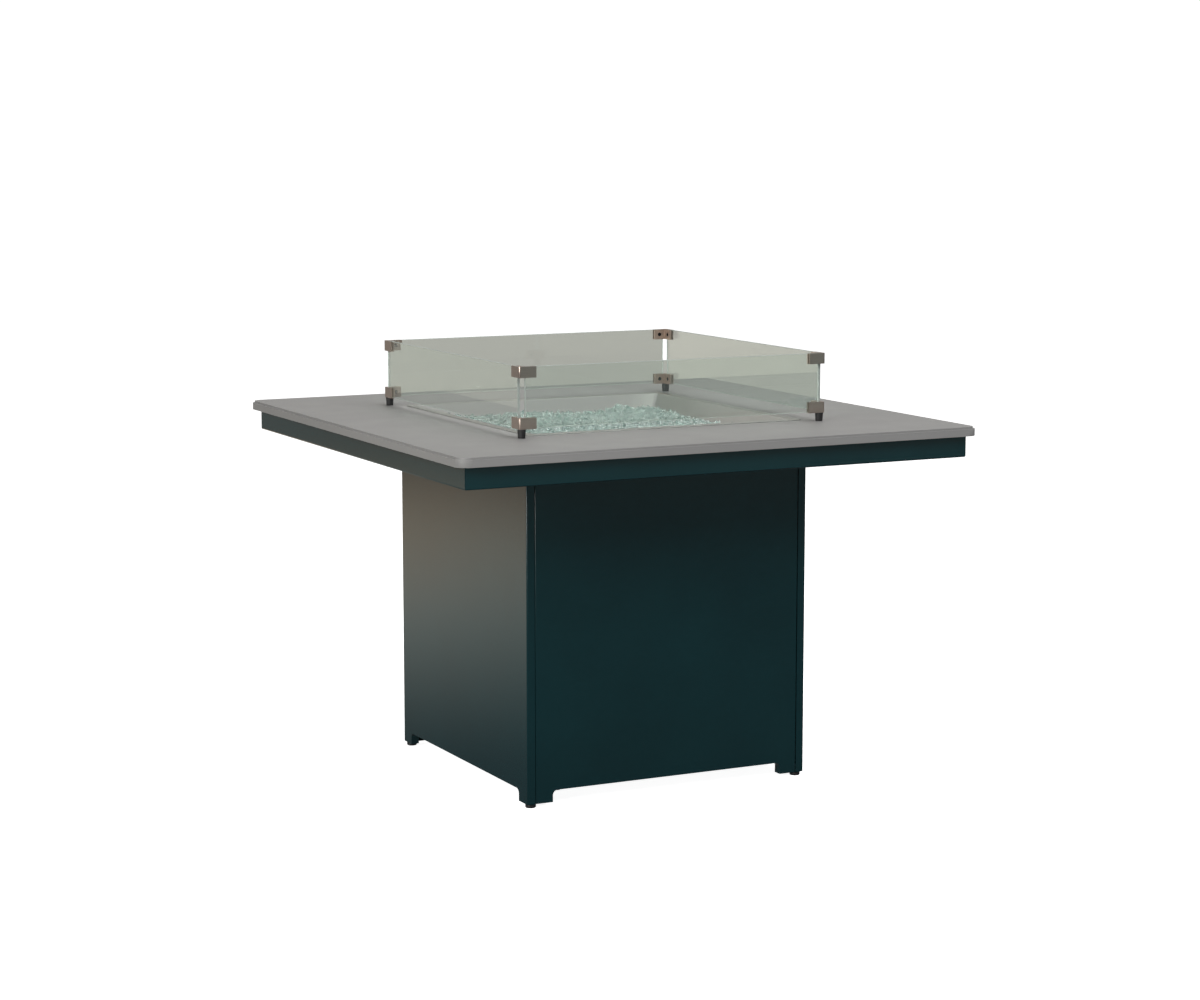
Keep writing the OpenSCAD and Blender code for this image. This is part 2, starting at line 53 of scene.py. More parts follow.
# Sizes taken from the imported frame, in metres
TOP_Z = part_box("table_top")[1].z
PAN_LOW, PAN_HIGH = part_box("burner_pan")
PAN_FLOOR_Z = PAN_LOW.z
PAN_HALF = PAN_HIGH.x

# Burner pan, as it is folded
PAN_SHEET = 1.5 * MM
PAN_FLANGE = 20 * MM
PAN_SLOPE = 0.63
PAN_BEND = 3.5 * MM
FLANGE_CORNER = 9 * MM
WALL_CORNER = 7 * MM


# ---------- camera ----------

CAMERA_AT = Vector((-2.5301, -5.0520, TOP_Z + 0.6246))
CAMERA_PITCH = math.radians(8.118)
CAMERA_YAW = math.radians(26.626)
CAMERA_LENS = 82.82


def make_camera():
    data = bpy.data.cameras.new("camera")
    data.sensor_fit = "HORIZONTAL"
    data.sensor_width = 36
    data.lens = CAMERA_LENS
    data.clip_start = 0.05
    data.clip_end = 200
    camera = bpy.data.objects.new("camera", data)
    camera.location = CAMERA_AT
    camera.rotation_euler = (math.pi / 2 - CAMERA_PITCH, 0, -CAMERA_YAW)
    scene.collection.objects.link(camera)
    scene.camera = camera


make_camera()


# ---------- material helpers ----------

class Nodes:
    """A short way to add nodes to one tree and link them."""

    def __init__(self, tree):
        self.tree = tree
        tree.nodes.clear()

    def add(self, kind, **settings):
        node = self.tree.nodes.new(kind)
        for name, value in settings.items():
            setattr(node, name, value)
        return node

    def link(self, source, target):
        self.tree.links.new(source, target)

    def noise(self, scale, detail=3.0, stretch=(1, 1, 1), roughness=0.5):
        """Noise in the object's own frame, squeezed or drawn out along each axis."""
        where = self.add("ShaderNodeTexCoord")
        mapping = self.add("ShaderNodeMapping")
        mapping.inputs["Scale"].default_value = stretch
        self.link(where.outputs["Object"], mapping.inputs["Vector"])
        texture = self.add("ShaderNodeTexNoise")
        texture.inputs["Scale"].default_value = scale
        texture.inputs["Detail"].default_value = detail
        texture.inputs["Roughness"].default_value = roughness
        self.link(mapping.outputs["Vector"], texture.inputs["Vector"])
        return texture.outputs["Fac"]

    def span(self, value, low, high, start=0.3, end=0.7):
        """Maps a value from start..end to low..high."""
        node = self.add("ShaderNodeMapRange")
        node.inputs["From Min"].default_value = start
        node.inputs["From Max"].default_value = end
        node.inputs["To Min"].default_value = low
        node.inputs["To Max"].default_value = high
        self.link(value, node.inputs["Value"])
        return node.outputs["Result"]

    def shades(self, value, dark, light):
        """Mixes two colours by a value."""
        node = self.add("ShaderNodeMix", data_type="RGBA")
        self.link(value, node.inputs["Factor"])
        node.inputs[6].default_value = (*dark, 1)
        node.inputs[7].default_value = (*light, 1)
        return node.outputs[2]

    def by_ray(self, base, rays):
        """Starts from a shader, and puts another in its place for each kind of ray named."""
        path = self.add("ShaderNodeLightPath")
        for kind, shader in rays:
            mix = self.add("ShaderNodeMixShader")
            self.link(path.outputs[kind], mix.inputs["Fac"])
            self.link(base, mix.inputs[1])
            self.link(shader, mix.inputs[2])
            base = mix.outputs["Shader"]
        return base

    def bump(self, height, strength, distance, under=None):
        """Relief from a height, on top of the relief under it if there is one."""
        node = self.add("ShaderNodeBump")
        node.inputs["Strength"].default_value = strength
        node.inputs["Distance"].default_value = distance
        self.link(height, node.inputs["Height"])
        if under is not None:
            self.link(under, node.inputs["Normal"])
        return node.outputs["Normal"]


def times(colour, share):
    """A colour made darker or lighter."""
    return tuple(min(1.0, c * share) for c in colour)


def new_material(name):
    """A material with one Principled shader, and the helper for its nodes."""
    material = bpy.data.materials.new(name)
    material.use_nodes = True
    nodes = Nodes(material.node_tree)
    shader = nodes.add("ShaderNodeBsdfPrincipled")
    out = nodes.add("ShaderNodeOutputMaterial")
    nodes.link(shader.outputs["BSDF"], out.inputs["Surface"])
    return material, nodes, shader


def finish_of(name, colour, rough, vary=0.06, patch=6.0, grain=900.0, grain_depth=0.02,
              stretch=(1, 1, 1), metal=0.0, coat=0.0, coat_rough=0.1):
    """A solid surface: slow colour drift, uneven roughness and a fine grain in relief."""
    material, nodes, shader = new_material(name)
    drift = nodes.noise(patch, 4.0)
    fine = nodes.noise(grain, stretch=stretch)
    nodes.link(nodes.shades(nodes.span(drift, 0, 1), times(colour, 1 - vary), times(colour, 1 + vary)),
               shader.inputs["Base Color"])
    nodes.link(nodes.span(fine, rough[0], rough[1]), shader.inputs["Roughness"])
    nodes.link(nodes.bump(fine, 0.6, grain_depth * MM), shader.inputs["Normal"])
    shader.inputs["Metallic"].default_value = metal
    shader.inputs["Coat Weight"].default_value = coat
    shader.inputs["Coat Roughness"].default_value = coat_rough
    return material


# ---------- materials ----------

def slab_material():
    """Satin polymer slab: a soft mottle, faint handling marks and a fine pebbled skin."""
    material, nodes, shader = new_material("slab_grey")
    colour = (0.250, 0.248, 0.245)
    cloud = nodes.noise(3.5, 5.0)
    speck = nodes.noise(1400.0, 2.0)
    marks = nodes.noise(14.0, 5.0)
    base = nodes.shades(nodes.span(cloud, 0, 1), times(colour, 0.965), times(colour, 1.03))
    mix = nodes.add("ShaderNodeMix", data_type="RGBA", blend_type="MULTIPLY")
    mix.inputs["Factor"].default_value = 1.0
    nodes.link(base, mix.inputs[6])
    nodes.link(nodes.shades(nodes.span(speck, 0, 1, 0.35, 0.65), (0.955,) * 3, (1.0,) * 3), mix.inputs[7])
    nodes.link(mix.outputs[2], shader.inputs["Base Color"])
    nodes.link(nodes.span(marks, 0.43, 0.49), shader.inputs["Roughness"])
    nodes.link(nodes.bump(speck, 0.35, 0.03 * MM), shader.inputs["Normal"])
    shader.inputs["Specular IOR Level"].default_value = 0.30
    return material


def coat_material():
    """Very dark teal powder coat: orange peel in relief under a satin gloss."""
    material, nodes, shader = new_material("teal_coat")
    colour = (0.0026, 0.0225, 0.0265)
    drift = nodes.noise(5.0, 4.0)
    peel = nodes.noise(520.0, 2.0)
    waves = nodes.noise(9.0, 2.0)
    nodes.link(nodes.shades(nodes.span(drift, 0, 1), times(colour, 0.9), times(colour, 1.1)),
               shader.inputs["Base Color"])
    nodes.link(nodes.span(peel, 0.20, 0.26), shader.inputs["Roughness"])
    low = nodes.bump(waves, 0.08, 0.8 * MM)
    nodes.link(nodes.bump(peel, 0.15, 0.03 * MM, low), shader.inputs["Normal"])
    return material


def brushed_material(name, colour, rough, stretch, vary=0.05):
    """Brushed metal: long fine scratches in relief and in tone, with roughness that drifts in slow stains.
    """
    material, nodes, shader = new_material(name)
    lines = nodes.noise(700.0, 4.0, stretch, 0.6)
    stain = nodes.noise(12.0, 3.0)
    nodes.link(nodes.shades(nodes.span(lines, 0, 1), times(colour, 1 - vary), times(colour, 1 + vary)),
               shader.inputs["Base Color"])
    nodes.link(nodes.span(stain, rough[0], rough[1]), shader.inputs["Roughness"])
    nodes.link(nodes.bump(lines, 0.12, 0.02 * MM), shader.inputs["Normal"])
    shader.inputs["Metallic"].default_value = 1.0
    shader.inputs["Anisotropic"].default_value = 0.3
    return material


def zinc_material():
    """Zinc plate with a faint spangle."""
    material, nodes, shader = new_material("zinc")
    where = nodes.add("ShaderNodeTexCoord")
    cells = nodes.add("ShaderNodeTexVoronoi")
    cells.inputs["Scale"].default_value = 140.0
    nodes.link(where.outputs["Object"], cells.inputs["Vector"])
    grey = nodes.add("ShaderNodeRGBToBW")
    nodes.link(cells.outputs["Color"], grey.inputs["Color"])
    nodes.link(nodes.shades(grey.outputs["Val"], (0.42, 0.43, 0.45), (0.56, 0.57, 0.58)),
               shader.inputs["Base Color"])
    nodes.link(nodes.span(grey.outputs["Val"], 0.30, 0.48, 0, 1), shader.inputs["Roughness"])
    nodes.link(nodes.bump(nodes.noise(500.0), 0.3, 0.02 * MM), shader.inputs["Normal"])
    shader.inputs["Metallic"].default_value = 0.6
    return material


GLASS_IOR = 1.5


def shadow_clear(nodes, shader, tint):
    """Lets lamp rays pass a glass shader, so that what is behind it is lit."""
    out = next(n for n in nodes.tree.nodes if n.type == "OUTPUT_MATERIAL")
    path = nodes.add("ShaderNodeLightPath")
    clear = nodes.add("ShaderNodeBsdfTransparent")
    clear.inputs["Color"].default_value = (*tint, 1)
    mix = nodes.add("ShaderNodeMixShader")
    nodes.link(path.outputs["Is Shadow Ray"], mix.inputs["Fac"])
    nodes.link(shader.outputs["BSDF"], mix.inputs[1])
    nodes.link(clear.outputs["BSDF"], mix.inputs[2])
    nodes.link(mix.outputs["Shader"], out.inputs["Surface"])


def pane_material():
    """Tempered float glass with a faint green tint and slight roller wave."""
    material, nodes, shader = new_material("pane_glass")
    tint = (0.872, 0.914, 0.884)
    film = nodes.noise(7.0, 4.0)
    nodes.link(nodes.shades(nodes.span(film, 0, 1), times(tint, 0.985), tint), shader.inputs["Base Color"])
    nodes.link(nodes.bump(nodes.noise(2.5, 1.0), 0.04, 0.6 * MM), shader.inputs["Normal"])
    shader.inputs["Roughness"].default_value = 0.012
    shader.inputs["IOR"].default_value = GLASS_IOR
    shader.inputs["Transmission Weight"].default_value = 1.0
    shadow_clear(nodes, shader, (0.86, 0.90, 0.88))
    return material


def pane_edge_material():
    """Ground and arrised glass edge: frosted, pale green-grey."""
    material, nodes, shader = new_material("pane_edge")
    grind = nodes.noise(900.0, 3.0)
    nodes.link(nodes.shades(nodes.span(grind, 0, 1), (0.36, 0.41, 0.38), (0.46, 0.51, 0.48)),
               shader.inputs["Base Color"])
    nodes.link(nodes.span(grind, 0.30, 0.45), shader.inputs["Roughness"])
    nodes.link(nodes.bump(grind, 0.2, 0.03 * MM), shader.inputs["Normal"])
    shader.inputs["IOR"].default_value = GLASS_IOR
    shader.inputs["Transmission Weight"].default_value = 0.25
    return material


def chunk_material(name, light, dark, transmission, rough):
    """Crushed tempered glass: clear to pale aqua, piece by piece."""
    material, nodes, shader = new_material(name)
    tone = nodes.noise(75.0, 2.0)
    nodes.link(nodes.shades(nodes.span(tone, 0, 1, 0.38, 0.62), dark, light), shader.inputs["Base Color"])
    nodes.link(nodes.bump(nodes.noise(260.0, 2.0), 0.25, 0.3 * MM), shader.inputs["Normal"])
    shader.inputs["Roughness"].default_value = rough
    shader.inputs["IOR"].default_value = GLASS_IOR
    shader.inputs["Transmission Weight"].default_value = transmission
    shadow_clear(nodes, shader, (0.80, 0.90, 0.87))
    return material


MATERIALS = {
    "top_slab": slab_material(),
    "base_coat": coat_material(),
    "stainless": brushed_material("stainless", (0.50, 0.51, 0.495), (0.30, 0.38), (1, 0.05, 1)),
    "bracket_steel": brushed_material("dark_nickel", (0.49, 0.40, 0.35), (0.30, 0.40), (0.06, 0.06, 1)),
    "clear_glass": pane_material(),
    "fire_glass": chunk_material("fire_glass", (0.82, 0.855, 0.84), (0.47, 0.54, 0.525), 0.85, 0.05),
    "black_rubber": finish_of("black_rubber", (0.014, 0.014, 0.015), (0.50, 0.68), grain=1200.0),
    "black_plastic": finish_of("black_plastic", (0.018, 0.018, 0.019), (0.36, 0.48), grain=1600.0),
    "galvanised": zinc_material(),
    "brass": finish_of("brass", (0.66, 0.47, 0.20), (0.22, 0.38), grain=300.0, stretch=(1, 1, 8), metal=1.0),
    "red_plastic": finish_of("red_plastic", (0.45, 0.030, 0.018), (0.20, 0.28), coat=0.3),
    "black_oxide": finish_of("black_oxide", (0.020, 0.020, 0.022), (0.30, 0.42), metal=0.6),
}

PANE_EDGE = pane_edge_material()
# Painted shade: the bed is the same glass as the loose pieces, coloured far darker to stand for the shade in
# the gaps between them; its mottle, relief and clear coat are the glass's own.
SHADED_BED_MATERIAL = finish_of("packed_glass_painted_shade", (0.13, 0.165, 0.157), (0.12, 0.35), vary=0.35, patch=90.0,
                         grain=160.0, grain_depth=1.2, coat=0.4, coat_rough=0.08)

SLOT_OF = {row["node"]: row["material_slot"] for row in frame["record"]["subparts"]}


# ---------- CAD nodes that stay ----------

# How far sharp edges are softened, in millimetres, by material slot
BEVEL_WIDTH = {
    "base_coat": 0.8, "bracket_steel": 0.45, "black_rubber": 0.6,
    "black_plastic": 0.5, "galvanised": 0.25, "stainless": 0.3, "brass": 0.4,
    "red_plastic": 0.8, "black_oxide": 0.15, "top_slab": 0.4,
}
WELD_DISTANCE = 0.002 * MM
SHARP_ANGLE = math.radians(40)

PANES = ("glass_front", "glass_right", "glass_back", "glass_left")
PANE_ARRIS = 0.7 * MM


def make_panes():
    """Each pane as cut: clear faces, with ground and arrised edges all round."""
    for node in PANES:
        low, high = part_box(node)
        size = high - low
        thin = min(range(3), key=lambda axis: size[axis])
        mesh = bmesh.new()
        bmesh.ops.create_cube(mesh, size=1.0)
        for v in mesh.verts:
            v.co = Vector([low[a] + (v.co[a] + 0.5) * size[a] for a in range(3)])
        bmesh.ops.bevel(mesh, geom=mesh.edges[:], offset=PANE_ARRIS, segments=2, profile=0.5, affect="EDGES")
        mesh.normal_update()
        for face in mesh.faces:
            face.material_index = 0 if abs(face.normal[thin]) > 0.99 else 1
        data = bpy.data.meshes.new(node + "_pane")
        mesh.to_mesh(data)
        mesh.free()
        pane = bpy.data.objects.new(node + "_pane", data)
        scene.collection.objects.link(pane)
        data.materials.append(MATERIALS["clear_glass"])
        data.materials.append(PANE_EDGE)
        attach(pane, "wind_guard")
        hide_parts(node)


def dress_cad_nodes(skip):
    """Gives every CAD node its material, and softens its sharp edges as folding or moulding does."""
    for name, obj in frame["nodes"].items():
        if name in skip:
            continue
        slot = SLOT_OF[name]
        obj.data.materials.clear()
        obj.data.materials.append(MATERIALS[slot])
        weld = obj.modifiers.new("weld", "WELD")
        weld.merge_threshold = WELD_DISTANCE
        bevel = obj.modifiers.new("soft_edges", "BEVEL")
        bevel.width = BEVEL_WIDTH[slot] * MM
        bevel.segments = 2
        bevel.limit_method = "ANGLE"
        bevel.angle_limit = SHARP_ANGLE
        bevel.use_clamp_overlap = True


# ---------- burner pan ----------

def rounded_loop(half, radius, z, steps=8):
    """Points round a square with round corners, counter-clockwise."""
    radius = min(radius, half * 0.98)
    points = []
    for corner in range(4):
        turn = corner * math.pi / 2 + math.pi / 4
        cx = math.copysign(half - radius, math.cos(turn))
        cy = math.copysign(half - radius, math.sin(turn))
        for step in range(steps + 1):
            angle = corner * math.pi / 2 + step / steps * math.pi / 2
            points.append((cx + radius * math.cos(angle), cy + radius * math.sin(angle), z))
    return points


def loft(name, loops):
    """A skin through loops that all have the same number of points, with a face across the last one."""
    mesh = bmesh.new()
    rings = [[mesh.verts.new(p) for p in loop] for loop in loops]
    count = len(rings[0])
    for low, high in zip(rings, rings[1:]):
        for i in range(count):
            j = (i + 1) % count
            mesh.faces.new((low[i], low[j], high[j], high[i]))
    mesh.faces.new(rings[-1])
    bmesh.ops.recalc_face_normals(mesh, faces=mesh.faces)
    data = bpy.data.meshes.new(name)
    mesh.to_mesh(data)
    mesh.free()
    obj = bpy.data.objects.new(name, data)
    scene.collection.objects.link(obj)
    return obj


def wall_half(z):
    """Half side of the pan's inner wall at a height."""
    return PAN_HALF - PAN_FLANGE - PAN_SLOPE * (TOP_Z - z)


def bend(start_angle, end_angle, centre, radius, steps=6):
    """Points of a bend in the pan's profile, as (half side, height)."""
    turns = [start_angle + (end_angle - start_angle) * i / steps for i in range(steps + 1)]
    return [(centre[0] + radius * math.cos(t), centre[1] + radius * math.sin(t)) for t in turns]


def make_pan():
    """The folded pan: flange with a rolled edge, bend, sloping walls, bend and floor, one sheet thick."""
    top = TOP_Z + PAN_SHEET
    floor = PAN_FLOOR_Z + PAN_SHEET
    lean = math.atan(PAN_SLOPE)
    # where the wall's line meets the flange's and the floor's planes
    upper = (wall_half(top), top)
    lower = (wall_half(floor), floor)
    run = PAN_BEND * math.tan((math.pi / 2 - lean) / 2)
    profile = [(PAN_HALF - 0.2 * MM, TOP_Z + 0.4 * MM), (PAN_HALF, TOP_Z + 0.9 * MM)]
    profile += [(PAN_HALF - 0.5 * MM, top), (PAN_HALF - 1.2 * MM, top)]
    profile += bend(math.pi / 2, math.pi - lean, (upper[0] + run, top - PAN_BEND), PAN_BEND)
    profile += bend(-lean, -math.pi / 2, (lower[0] - 2 * run, floor + 2 * PAN_BEND), 2 * PAN_BEND)
    loops = []
    for half, z in profile:
        share = min(1.0, max(0.0, (PAN_HALF - half) / PAN_FLANGE))
        loops.append(rounded_loop(half, FLANGE_CORNER + (WALL_CORNER - FLANGE_CORNER) * share, z))
    pan = loft("pan_shell", loops)
    for face in pan.data.polygons:
        face.use_smooth = True
    thick = pan.modifiers.new("sheet", "SOLIDIFY")
    thick.thickness = PAN_SHEET - 0.4 * MM
    thick.offset = -1
    pan.data.materials.append(MATERIALS["stainless"])
    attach(pan, "table")
    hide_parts("burner_pan")


# ---------- fire glass ----------

RNG = np.random.RandomState(11)
CHUNK_KINDS = 14
CHUNK_STEP = 10.0 * MM
CHUNK_MARGIN = 7.0 * MM
LAYER_DROP = 7.0 * MM
MEDIA_DROP = 0.030
BED_DROP = 0.040
BED_GAP = 1.0 * MM
BED_STEPS = 48
MOUND_AT = (0.172, 0.236)


def media_height(x, y):
    """Height of the media's surface: level, with slow heaps and one small mound near the back corner."""
    slow = 2.6 * np.sin(9 * x + 1.1) * np.cos(11 * y - 0.4) + 1.8 * np.sin(23 * x - 17 * y)
    mound = 13.0 * np.exp(-(((x - MOUND_AT[0]) / 0.022) ** 2 + ((y - MOUND_AT[1]) / 0.03) ** 2))
    rise = 3.0 * (y / 0.26) - 3.0 * (x / 0.26)
    return TOP_Z + (-30.0 + slow + mound + rise) * MM


def chunk_shapes():
    """Sharp convex pieces, each the hull of a few random points."""
    shapes = []
    for _ in range(CHUNK_KINDS):
        size = np.array([1.0, RNG.uniform(0.55, 0.95), RNG.uniform(0.40, 0.75)])
        points = RNG.uniform(-1, 1, (11, 3))
        points /= np.abs(points).max(axis=1)[:, None] ** RNG.uniform(0.6, 1.0)
        mesh = bmesh.new()
        for p in points * size:
            mesh.verts.new(p)
        bmesh.ops.convex_hull(mesh, input=mesh.verts)
        loose = [v for v in mesh.verts if not v.link_faces]
        bmesh.ops.delete(mesh, geom=loose, context="VERTS")
        mesh.verts.index_update()
        co = np.array([v.co for v in mesh.verts])
        faces = [[v.index for v in f.verts] for f in mesh.faces]
        shapes.append((co, faces))
        mesh.free()
    return shapes


def turn_matrix():
    """A random rotation."""
    q = RNG.normal(size=4)
    w, x, y, z = q / np.linalg.norm(q)
    return np.array([
        [1 - 2 * (y * y + z * z), 2 * (x * y - z * w), 2 * (x * z + y * w)],
        [2 * (x * y + z * w), 1 - 2 * (x * x + z * z), 2 * (y * z - x * w)],
        [2 * (x * z - y * w), 2 * (y * z + x * w), 1 - 2 * (x * x + y * y)],
    ])


def make_fire_glass():
    """Two loose layers of crushed glass over a closed bed of the same glass; the bed's darker colour is
    painted shade.
    """
    shapes = chunk_shapes()
    points, faces = [], []
    offset = 0
    for layer in range(2):
        drop = layer * LAYER_DROP
        reach = wall_half(TOP_Z - MEDIA_DROP - drop) - CHUNK_MARGIN
        count = int(2 * reach / CHUNK_STEP)
        for i in range(count + 1):
            for j in range(count + 1):
                x = -reach + 2 * reach * (i + RNG.uniform(-0.45, 0.45)) / count
                y = -reach + 2 * reach * (j + RNG.uniform(-0.45, 0.45)) / count
                x, y = np.clip((x, y), -reach, reach)
                z = media_height(x, y) - drop + RNG.uniform(-2.6, 2.6) * MM
                co, polygons = shapes[RNG.randint(CHUNK_KINDS)]
                half = RNG.uniform(4.6, 8.2) * MM
                placed = (co * half) @ turn_matrix().T + (x, y, z)
                points.append(placed)
                faces += [[offset + k for k in f] for f in polygons]
                offset += len(co)
    data = bpy.data.meshes.new("fire_glass_pieces")
    data.from_pydata(np.concatenate(points).tolist(), [], faces)
    data.update()
    chunks = bpy.data.objects.new("fire_glass_pieces", data)
    scene.collection.objects.link(chunks)
    data.materials.append(MATERIALS["fire_glass"])
    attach(chunks, "table")
    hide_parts("glass_media")


def make_bed():
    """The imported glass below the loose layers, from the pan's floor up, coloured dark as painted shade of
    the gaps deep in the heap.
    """
    steps = BED_STEPS
    low_z = PAN_FLOOR_Z + PAN_SHEET + 0.6 * MM
    low_half = wall_half(low_z) - BED_GAP
    high_half = wall_half(TOP_Z - BED_DROP) - BED_GAP
    mesh = bmesh.new()
    grid = [[None] * (steps + 1) for _ in range(steps + 1)]
    for i in range(steps + 1):
        for j in range(steps + 1):
            x = -high_half + 2 * high_half * i / steps
            y = -high_half + 2 * high_half * j / steps
            z = media_height(x, y) - 10 * MM + RNG.uniform(-1.6, 1.6) * MM
            grid[i][j] = mesh.verts.new((x, y, z))
    for i in range(steps):
        for j in range(steps):
            mesh.faces.new((grid[i][j], grid[i + 1][j], grid[i + 1][j + 1], grid[i][j + 1]))
    rim = [grid[i][0] for i in range(steps)] + [grid[steps][j] for j in range(steps)]
    rim += [grid[i][steps] for i in range(steps, 0, -1)] + [grid[0][j] for j in range(steps, 0, -1)]
    share = low_half / high_half
    foot = [mesh.verts.new((v.co.x * share, v.co.y * share, low_z)) for v in rim]
    for k in range(len(rim)):
        n = (k + 1) % len(rim)
        mesh.faces.new((rim[n], rim[k], foot[k], foot[n]))
    mesh.faces.new(foot[::-1])
    bmesh.ops.recalc_face_normals(mesh, faces=mesh.faces)
    data = bpy.data.meshes.new("fire_glass_bed")
    mesh.to_mesh(data)
    mesh.free()
    bed = bpy.data.objects.new("fire_glass_bed", data)
    scene.collection.objects.link(bed)
    data.materials.append(SHADED_BED_MATERIAL)
    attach(bed, "table")


# ---------- studio ----------

FLOOR_HALF = 40.0
BACKDROP_GREY = (0.468, 0.456, 0.425)
WALL_LIGHT = (1.10, 1.02, 0.90)

# What mirrored rays see on the floor: shade, with light at these places, in metres
SHADE = (0.10, 0.11, 0.115)
PATCH_AT = (-1.45, 2.75, 0)
PATCH_FADE = (0.3, 3.1)
PATCH_LEFT = (-2.6, -2.25)
PATCH_NEAR = (0.90, 0.92, 0.83)
PATCH_FAR = (1.18, 0.84, 0.55)
FRONT_FROM = (-5.7, -6.3)
FRONT_LIGHT = (0.46, 0.60, 0.58)
BEHIND_FROM = (5.9, 6.4)
BEHIND_LEFT = (0.27, 0.29, 0.28)
BEHIND_RIGHT = (0.33, 0.33, 0.31)

def make_floor():
    """White to the camera and a soft bounce to diffuse rays. Mirrored rays meet shade near the table,
    a warm patch behind its left side, and plain light far in front and far behind."""
    data = bpy.data.meshes.new("floor")
    corners = [(-FLOOR_HALF, -FLOOR_HALF, 0), (FLOOR_HALF, -FLOOR_HALF, 0),
               (FLOOR_HALF, FLOOR_HALF, 0), (-FLOOR_HALF, FLOOR_HALF, 0)]
    data.from_pydata(corners, [], [(0, 1, 2, 3)])
    floor = bpy.data.objects.new("floor", data)
    scene.collection.objects.link(floor)
    material = bpy.data.materials.new("floor")
    material.use_nodes = True
    nodes = Nodes(material.node_tree)
    out = nodes.add("ShaderNodeOutputMaterial")
    where = nodes.add("ShaderNodeTexCoord")
    # distance from the middle of the warm patch
    offset = nodes.add("ShaderNodeVectorMath", operation="SUBTRACT")
    offset.inputs[1].default_value = PATCH_AT
    nodes.link(where.outputs["Object"], offset.inputs[0])
    length = nodes.add("ShaderNodeVectorMath", operation="LENGTH")
    nodes.link(offset.outputs["Vector"], length.inputs[0])
    near = nodes.add("ShaderNodeMapRange", interpolation_type="SMOOTHSTEP")
    near.inputs["From Min"].default_value = PATCH_FADE[0]
    near.inputs["From Max"].default_value = PATCH_FADE[1]
    near.inputs["To Min"].default_value = 1.0
    near.inputs["To Max"].default_value = 0.0
    nodes.link(length.outputs["Value"], near.inputs["Value"])
    place = nodes.add("ShaderNodeSeparateXYZ")
    nodes.link(where.outputs["Object"], place.inputs["Vector"])
    warmth = nodes.shades(nodes.span(place.outputs["Y"], 0, 1, 1.6, 3.8), PATCH_NEAR, PATCH_FAR)
    limit = nodes.add("ShaderNodeMath", operation="MULTIPLY")
    nodes.link(near.outputs["Result"], limit.inputs[0])
    nodes.link(nodes.span(place.outputs["X"], 0, 1, *PATCH_LEFT), limit.inputs[1])
    patch = nodes.add("ShaderNodeMix", data_type="RGBA")
    nodes.link(limit.outputs["Value"], patch.inputs["Factor"])
    patch.inputs[6].default_value = (*SHADE, 1)
    nodes.link(warmth, patch.inputs[7])
    # cool light far in front, which only the upright glass mirrors
    far = nodes.add("ShaderNodeMix", data_type="RGBA")
    nodes.link(nodes.span(place.outputs["Y"], 0, 1, *FRONT_FROM), far.inputs["Factor"])
    nodes.link(patch.outputs[2], far.inputs[6])
    far.inputs[7].default_value = (*FRONT_LIGHT, 1)
    # neutral light far behind, mirrored by the guard's left and right panes
    beyond = nodes.add("ShaderNodeMix", data_type="RGBA")
    nodes.link(nodes.span(place.outputs["Y"], 0, 1, *BEHIND_FROM), beyond.inputs["Factor"])
    nodes.link(far.outputs[2], beyond.inputs[6])
    distant = nodes.shades(nodes.span(place.outputs["X"], 0, 1, -3.8, -2.9), BEHIND_LEFT, BEHIND_RIGHT)
    nodes.link(distant, beyond.inputs[7])
    pale = nodes.add("ShaderNodeBsdfDiffuse")
    pale.inputs["Color"].default_value = (0.86, 0.86, 0.86, 1)
    bounce = nodes.add("ShaderNodeBsdfDiffuse")
    bounce.inputs["Color"].default_value = (0.38, 0.38, 0.38, 1)
    lift = nodes.add("ShaderNodeEmission")
    lift.inputs["Color"].default_value = (1, 1, 1, 1)
    lift.inputs["Strength"].default_value = 0.93
    seen = nodes.add("ShaderNodeAddShader")
    nodes.link(pale.outputs["BSDF"], seen.inputs[0])
    nodes.link(lift.outputs["Emission"], seen.inputs[1])
    mirrored = nodes.add("ShaderNodeEmission")
    nodes.link(beyond.outputs[2], mirrored.inputs["Color"])
    # the right pane mirrors the back left of the room, seen on through the back pane
    through = nodes.add("ShaderNodeEmission")
    nodes.link(nodes.shades(nodes.span(place.outputs["X"], 0, 1, -1.2, -2.2),
                            BACKDROP_GREY, WALL_LIGHT), through.inputs["Color"])
    rays = (("Is Glossy Ray", mirrored.outputs["Emission"]),
            ("Is Transmission Ray", through.outputs["Emission"]),
            ("Is Camera Ray", seen.outputs["Shader"]))
    nodes.link(nodes.by_ray(bounce.outputs["BSDF"], rays), out.inputs["Surface"])
    data.materials.append(material)


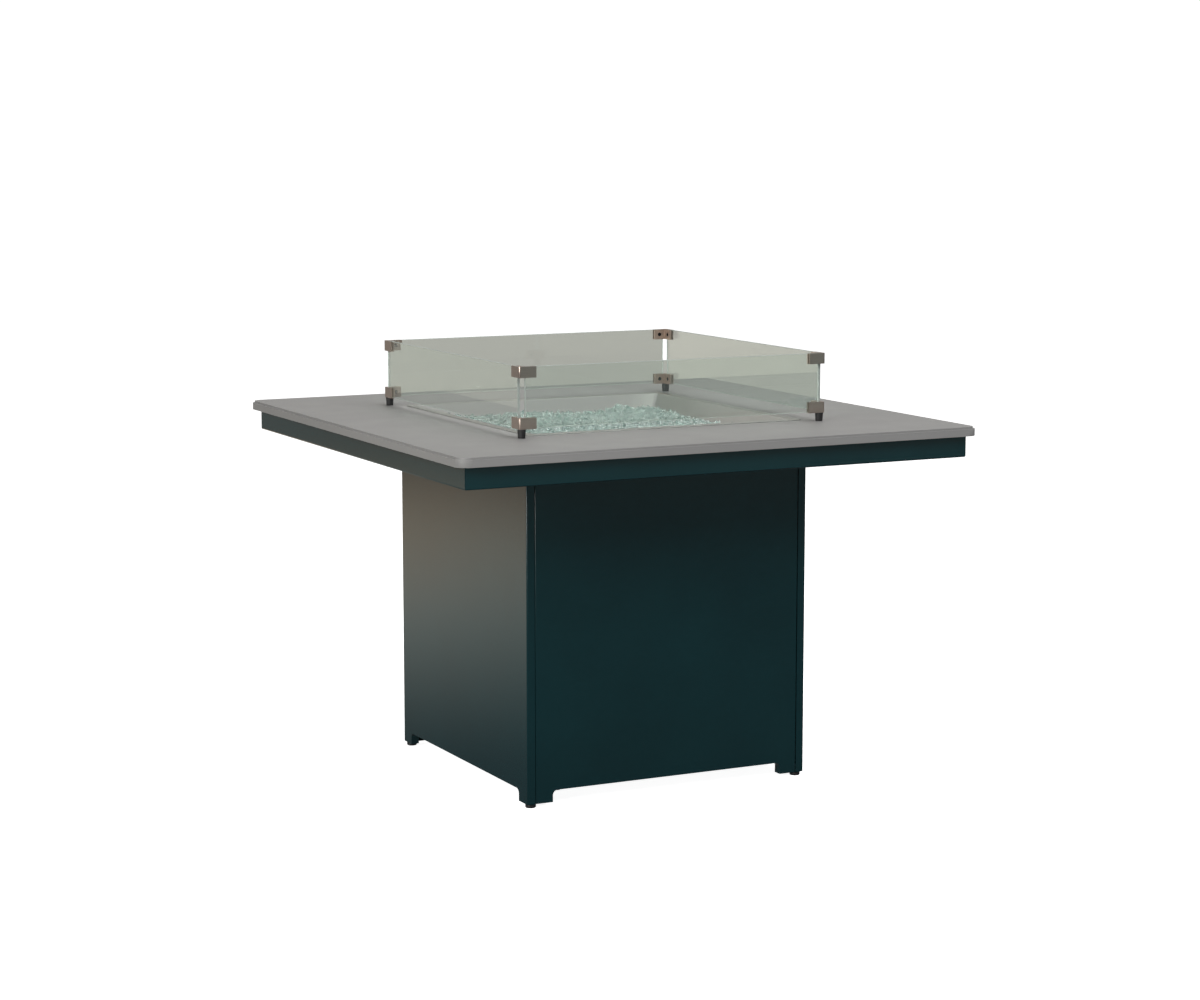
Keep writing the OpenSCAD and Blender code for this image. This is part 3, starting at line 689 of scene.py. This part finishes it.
def make_world():
    """White to the camera, mid grey through glass, and a soft room for reflections and fill."""
    world = bpy.data.worlds.new("studio")
    scene.world = world
    world.use_nodes = True
    nodes = Nodes(world.node_tree)
    out = nodes.add("ShaderNodeOutputWorld")
    where = nodes.add("ShaderNodeTexCoord")
    side = nodes.add("ShaderNodeVectorMath", operation="DOT_PRODUCT")
    side.inputs[1].default_value = (-0.80, 0.55, 0.25)
    nodes.link(where.outputs["Generated"], side.inputs[0])
    room = nodes.shades(nodes.span(side.outputs["Value"], 0, 1, -0.6, 0.9),
                        (0.14, 0.14, 0.145), (0.62, 0.59, 0.54))
    place = nodes.add("ShaderNodeSeparateXYZ")
    nodes.link(where.outputs["Generated"], place.inputs["Vector"])
    overhead = nodes.add("ShaderNodeMix", data_type="RGBA")
    nodes.link(nodes.span(place.outputs["Z"], 0, 1, 0.30, 0.85), overhead.inputs["Factor"])
    nodes.link(room, overhead.inputs[6])
    overhead.inputs[7].default_value = (0.78, 0.77, 0.76, 1)
    gloss = nodes.add("ShaderNodeBackground")
    nodes.link(overhead.outputs[2], gloss.inputs["Color"])
    fill = nodes.add("ShaderNodeBackground")
    fill.inputs["Color"].default_value = (1, 1, 1, 1)
    fill.inputs["Strength"].default_value = 0.19
    white = nodes.add("ShaderNodeBackground")
    white.inputs["Color"].default_value = (1, 1, 1, 1)
    white.inputs["Strength"].default_value = 1.05
    grey = nodes.add("ShaderNodeBackground")
    grey.inputs["Color"].default_value = (*BACKDROP_GREY, 1)
    rays = (("Is Diffuse Ray", fill.outputs["Background"]),
            ("Is Transmission Ray", grey.outputs["Background"]),
            ("Is Camera Ray", white.outputs["Background"]))
    nodes.link(nodes.by_ray(gloss.outputs["Background"], rays), out.inputs["Surface"])


def make_softbox(name, at, target, size, power, colour, glossy=False):
    """A square lamp of a given side and power, aimed at a point."""
    data = bpy.data.lights.new(name, "AREA")
    data.shape = "SQUARE"
    data.size = size
    data.energy = power
    data.color = colour
    lamp = bpy.data.objects.new(name, data)
    lamp.location = at
    lamp.rotation_euler = (Vector(target) - Vector(at)).to_track_quat("-Z", "Y").to_euler()
    lamp.visible_glossy = glossy
    scene.collection.objects.link(lamp)


def make_studio():
    scene.view_settings.view_transform = "Standard"
    make_world()
    make_floor()
    make_softbox("softbox_left", at=(-4.2, -2.2, 1.9), target=(0, 0, 0.4), size=2.4, power=145,
                 colour=(1.0, 0.99, 0.97), glossy=True)
    make_softbox("softbox_top", at=(1.2, 0.2, 4.6), target=(0, 0, 0.6), size=4.0, power=108,
                 colour=(1.0, 0.985, 0.97))
    make_softbox("softbox_front", at=(1.4, -4.8, 4.8), target=(0, 0, 0.3), size=3.0, power=195,
                 colour=(0.98, 0.99, 1.0))


make_pan()
make_fire_glass()
make_bed()
make_panes()
dress_cad_nodes(skip={"burner_pan", "glass_media", *PANES})
make_studio()
